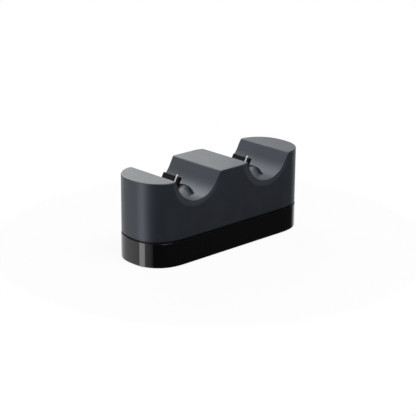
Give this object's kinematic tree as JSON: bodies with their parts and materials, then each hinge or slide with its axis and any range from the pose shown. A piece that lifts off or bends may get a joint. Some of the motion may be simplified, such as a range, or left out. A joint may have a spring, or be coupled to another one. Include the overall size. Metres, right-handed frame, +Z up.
{
  "type": "controller charging dock",
  "caption": "Free-standing charging dock: curved cradles with leaning plugs in a matte shell, on a gloss base with a power inlet behind.",
  "frame": {"origin": "middle of the dock on the surface that its feet rest on", "axes": "+X along the dock, +Y to the back where the power inlet is, +Z up"},
  "size_m": [0.1868, 0.0636, 0.0762],
  "materials": {
    "shell": "matte dark blue-grey with a fine moulded grain",
    "gloss_base": "polished black",
    "foot_rubber": "soft matte rubber",
    "black_plastic": "satin black",
    "contact_metal": "gold-plated",
    "spring_steel": "bright spring steel",
    "screw_steel": "zinc-plated",
    "ballast_steel": "plain steel",
    "circuit_board": "green solder mask",
    "chip_resin": "moulded resin",
    "ferrite": "ferrite",
    "capacitor_can": "bare can",
    "lead_jacket": "soft vinyl",
    "header_plastic": "natural nylon"
  },
  "bodies": {
    "root": {"ballast_left": "ballast_steel", "ballast_right": "ballast_steel", "base_tray": "gloss_base", "board_screws": "screw_steel", "capacitors": "capacitor_can", "carrier_screws_left": "screw_steel", "carrier_screws_right": "screw_steel", "case_screws": "screw_steel", "charge_chips": "chip_resin", "foot_back_left": "foot_rubber", "foot_back_right": "foot_rubber", "foot_front_left": "foot_rubber", "foot_front_right": "foot_rubber", "inductors": "ferrite", "inlet_pin": "contact_metal", "inlet_socket": "black_plastic", "lead_header_left": "header_plastic", "lead_header_right": "header_plastic", "main_board": "circuit_board", "plug_board_left": "circuit_board", "plug_board_right": "circuit_board", "plug_body_left": "black_plastic", "plug_body_right": "black_plastic", "plug_contacts_left": "contact_metal", "plug_contacts_right": "contact_metal", "plug_spring_left": "spring_steel", "plug_spring_right": "spring_steel", "ribbon_lead_left": "lead_jacket", "ribbon_lead_right": "lead_jacket", "upper_shell": "shell"}
  },
  "joints": []
}
